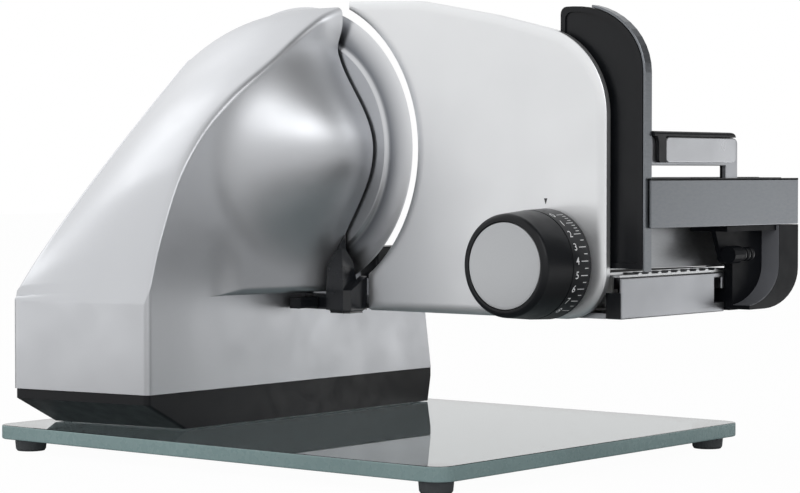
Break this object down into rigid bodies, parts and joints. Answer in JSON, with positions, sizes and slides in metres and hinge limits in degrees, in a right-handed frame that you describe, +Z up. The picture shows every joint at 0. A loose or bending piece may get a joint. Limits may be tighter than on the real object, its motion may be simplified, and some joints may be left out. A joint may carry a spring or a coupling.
{
  "type": "food slicer",
  "caption": "Kitchen food slicer on a glass base, with a round blade, a sliding carriage with a food pusher, and a stop plate set by a thickness knob.",
  "frame": {"origin": "centre of the bounding box's underside, on the table between the feet", "axes": "+X across the cut from the slice side to the carriage side, +Y away from the user along the carriage's travel, +Z up"},
  "size_m": [0.3268, 0.3362, 0.2596],
  "materials": {
    "housing_silver": "satin silver paint",
    "plate_silver": "fine satin",
    "blade_steel": "ground and polished",
    "stainless": "brushed",
    "aluminium": "satin anodised",
    "black_plastic": "fine grained",
    "foot_rubber": "matte",
    "clear_glass": "polished, green edge",
    "white_nylon": "smooth",
    "bronze": "sintered"
  },
  "bodies": {
    "root": {"glass_base": "clear_glass", "foot_front_left": "foot_rubber", "foot_front_right": "foot_rubber", "foot_rear_left": "foot_rubber", "foot_rear_right": "foot_rubber", "base_skirt": "black_plastic", "bottom_plate": "stainless", "motor_housing": "housing_silver", "guide_rail": "aluminium", "rail_end_cap": "aluminium", "rail_screw_front": "stainless", "rail_screw_rear": "stainless", "rod_guide_front": "white_nylon", "rod_guide_rear": "white_nylon", "cam_pin": "stainless", "slice_deflector": "black_plastic", "motor_can": "stainless", "motor_end_cap": "black_plastic", "gear_case": "black_plastic", "bearing_bush": "bronze"},
    "blade": {"round_blade": "blade_steel", "worm_wheel": "white_nylon", "blade_shaft": "stainless", "blade_screw": "black_plastic"},
    "motor": {"worm_shaft": "stainless", "motor_armature": "stainless", "cooling_fan": "black_plastic"},
    "plate": {"stop_plate": "plate_silver", "guide_rod_front": "stainless", "guide_rod_rear": "stainless", "knob_screw": "stainless"},
    "knob": {"knob_grip": "black_plastic", "knob_cap": "aluminium"},
    "carriage": {"carriage_frame": "black_plastic", "carriage_tray": "stainless", "food_wall": "stainless", "wall_strip": "black_plastic", "front_band": "aluminium", "tray_end_lip": "black_plastic", "glide_front": "white_nylon", "glide_rear": "white_nylon"},
    "lock": {"lock_roller": "black_plastic"},
    "pusher": {"pusher_plate": "black_plastic", "pusher_edge": "aluminium", "pusher_bracket": "aluminium", "pusher_grip": "black_plastic", "grip_pad": "aluminium"},
    "switch": {"switch_bar": "black_plastic"}
  },
  "joints": [
    {"name": "carriage_slide", "type": "slide", "parent": "root", "child": "carriage", "axis": [0, 1, 0], "range_m": [0, 0.2]},
    {"name": "pusher_slide", "type": "slide", "parent": "carriage", "child": "pusher", "axis": [1, 0, 0], "range_m": [0, 0.06]},
    {"name": "plate_slide", "type": "slide", "parent": "root", "child": "plate", "axis": [-1, 0, 0], "range_m": [0, 0.0217]},
    {"name": "knob_turn", "type": "hinge", "parent": "plate", "child": "knob", "pos_m": [-0.0065, -0.10685, 0.109], "axis": [-1, 0, 0], "range_deg": [0, 335]},
    {"name": "motor_spin", "type": "hinge", "parent": "root", "child": "motor", "pos_m": [-0.0444, 0.11315, 0.173], "axis": [0, 0, 1], "continuous": true},
    {"name": "blade_spin", "type": "hinge", "parent": "root", "child": "blade", "pos_m": [-0.0024, 0.07515, 0.173], "axis": [1, 0, 0], "continuous": true},
    {"name": "lock_turn", "type": "hinge", "parent": "carriage", "child": "lock", "pos_m": [0.1006, -0.16165, 0.1125], "axis": [1, 0, 0], "range_deg": [0, 90]},
    {"name": "switch_press", "type": "slide", "parent": "root", "child": "switch", "axis": [0, 1, 0], "range_m": [0, 0.0025], "stiffness_N_per_m": 500, "springref_m": -0.001}
  ],
  "couplings": [
    {"joint": "knob_turn", "follows": "plate_slide", "rad_per_m": 268.8},
    {"joint": "blade_spin", "follows": "motor_spin", "ratio": -0.025}
  ]
}
